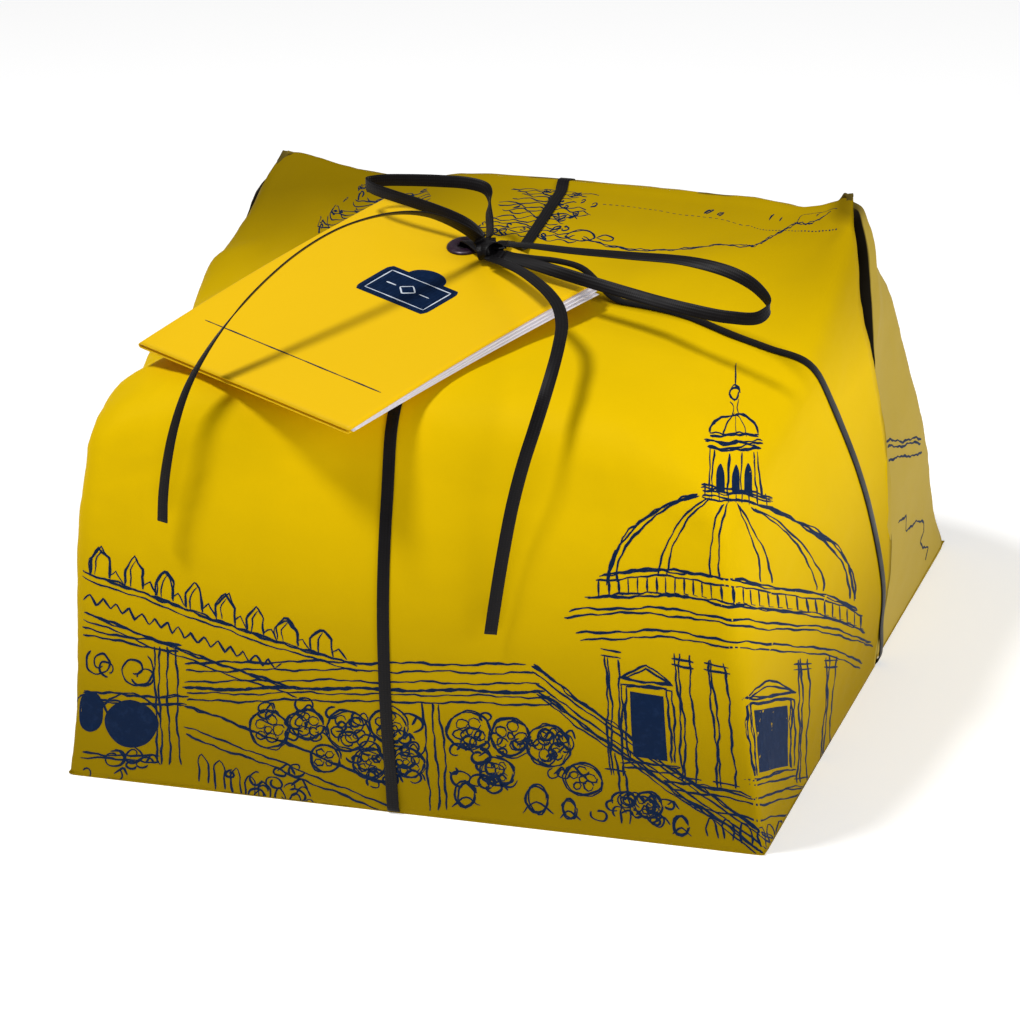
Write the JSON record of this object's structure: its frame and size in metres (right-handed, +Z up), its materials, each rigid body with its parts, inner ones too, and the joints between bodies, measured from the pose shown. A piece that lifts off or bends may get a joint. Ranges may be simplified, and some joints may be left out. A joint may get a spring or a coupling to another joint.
{
  "type": "wrapped panettone",
  "caption": "Whole panettone in a hand-folded printed paper wrap with a gathered ridge, cross-tied with flat ribbon, with a bow and a booklet tag.",
  "frame": {"origin": "under the middle of the parcel, on the surface that it stands on", "axes": "+Z up, -Y towards the front face of the parcel, +X towards its right side; the gathered ridge runs along X at the back of the top"},
  "size_m": [0.2397, 0.2388, 0.1729],
  "materials": {
    "wrap_paper": "satin",
    "base_board": "matte",
    "loaf_crust": "matte",
    "baking_case": "satin",
    "clear_film": "gloss",
    "bag_tie": "satin",
    "ribbon": "satin",
    "tag_cover": "satin",
    "tag_page": "matte",
    "eyelet": "gloss"
  },
  "bodies": {
    "root": {"wrap_paper": "wrap_paper", "base_board": "base_board", "panettone_loaf": "loaf_crust", "baking_case": "baking_case", "film_bag": "clear_film", "bag_tie": "bag_tie", "ribbon_front_back_band": "ribbon", "ribbon_side_band": "ribbon", "ribbon_knot": "ribbon", "bow_loop_right": "ribbon", "bow_loop_left": "ribbon", "ribbon_tail_left": "ribbon", "ribbon_tail_front": "ribbon", "tag_cover": "tag_cover", "tag_page_1": "tag_page", "tag_page_2": "tag_page", "tag_page_3": "tag_page", "tag_eyelet": "eyelet", "tag_eyelet_washer": "eyelet"}
  },
  "joints": []
}
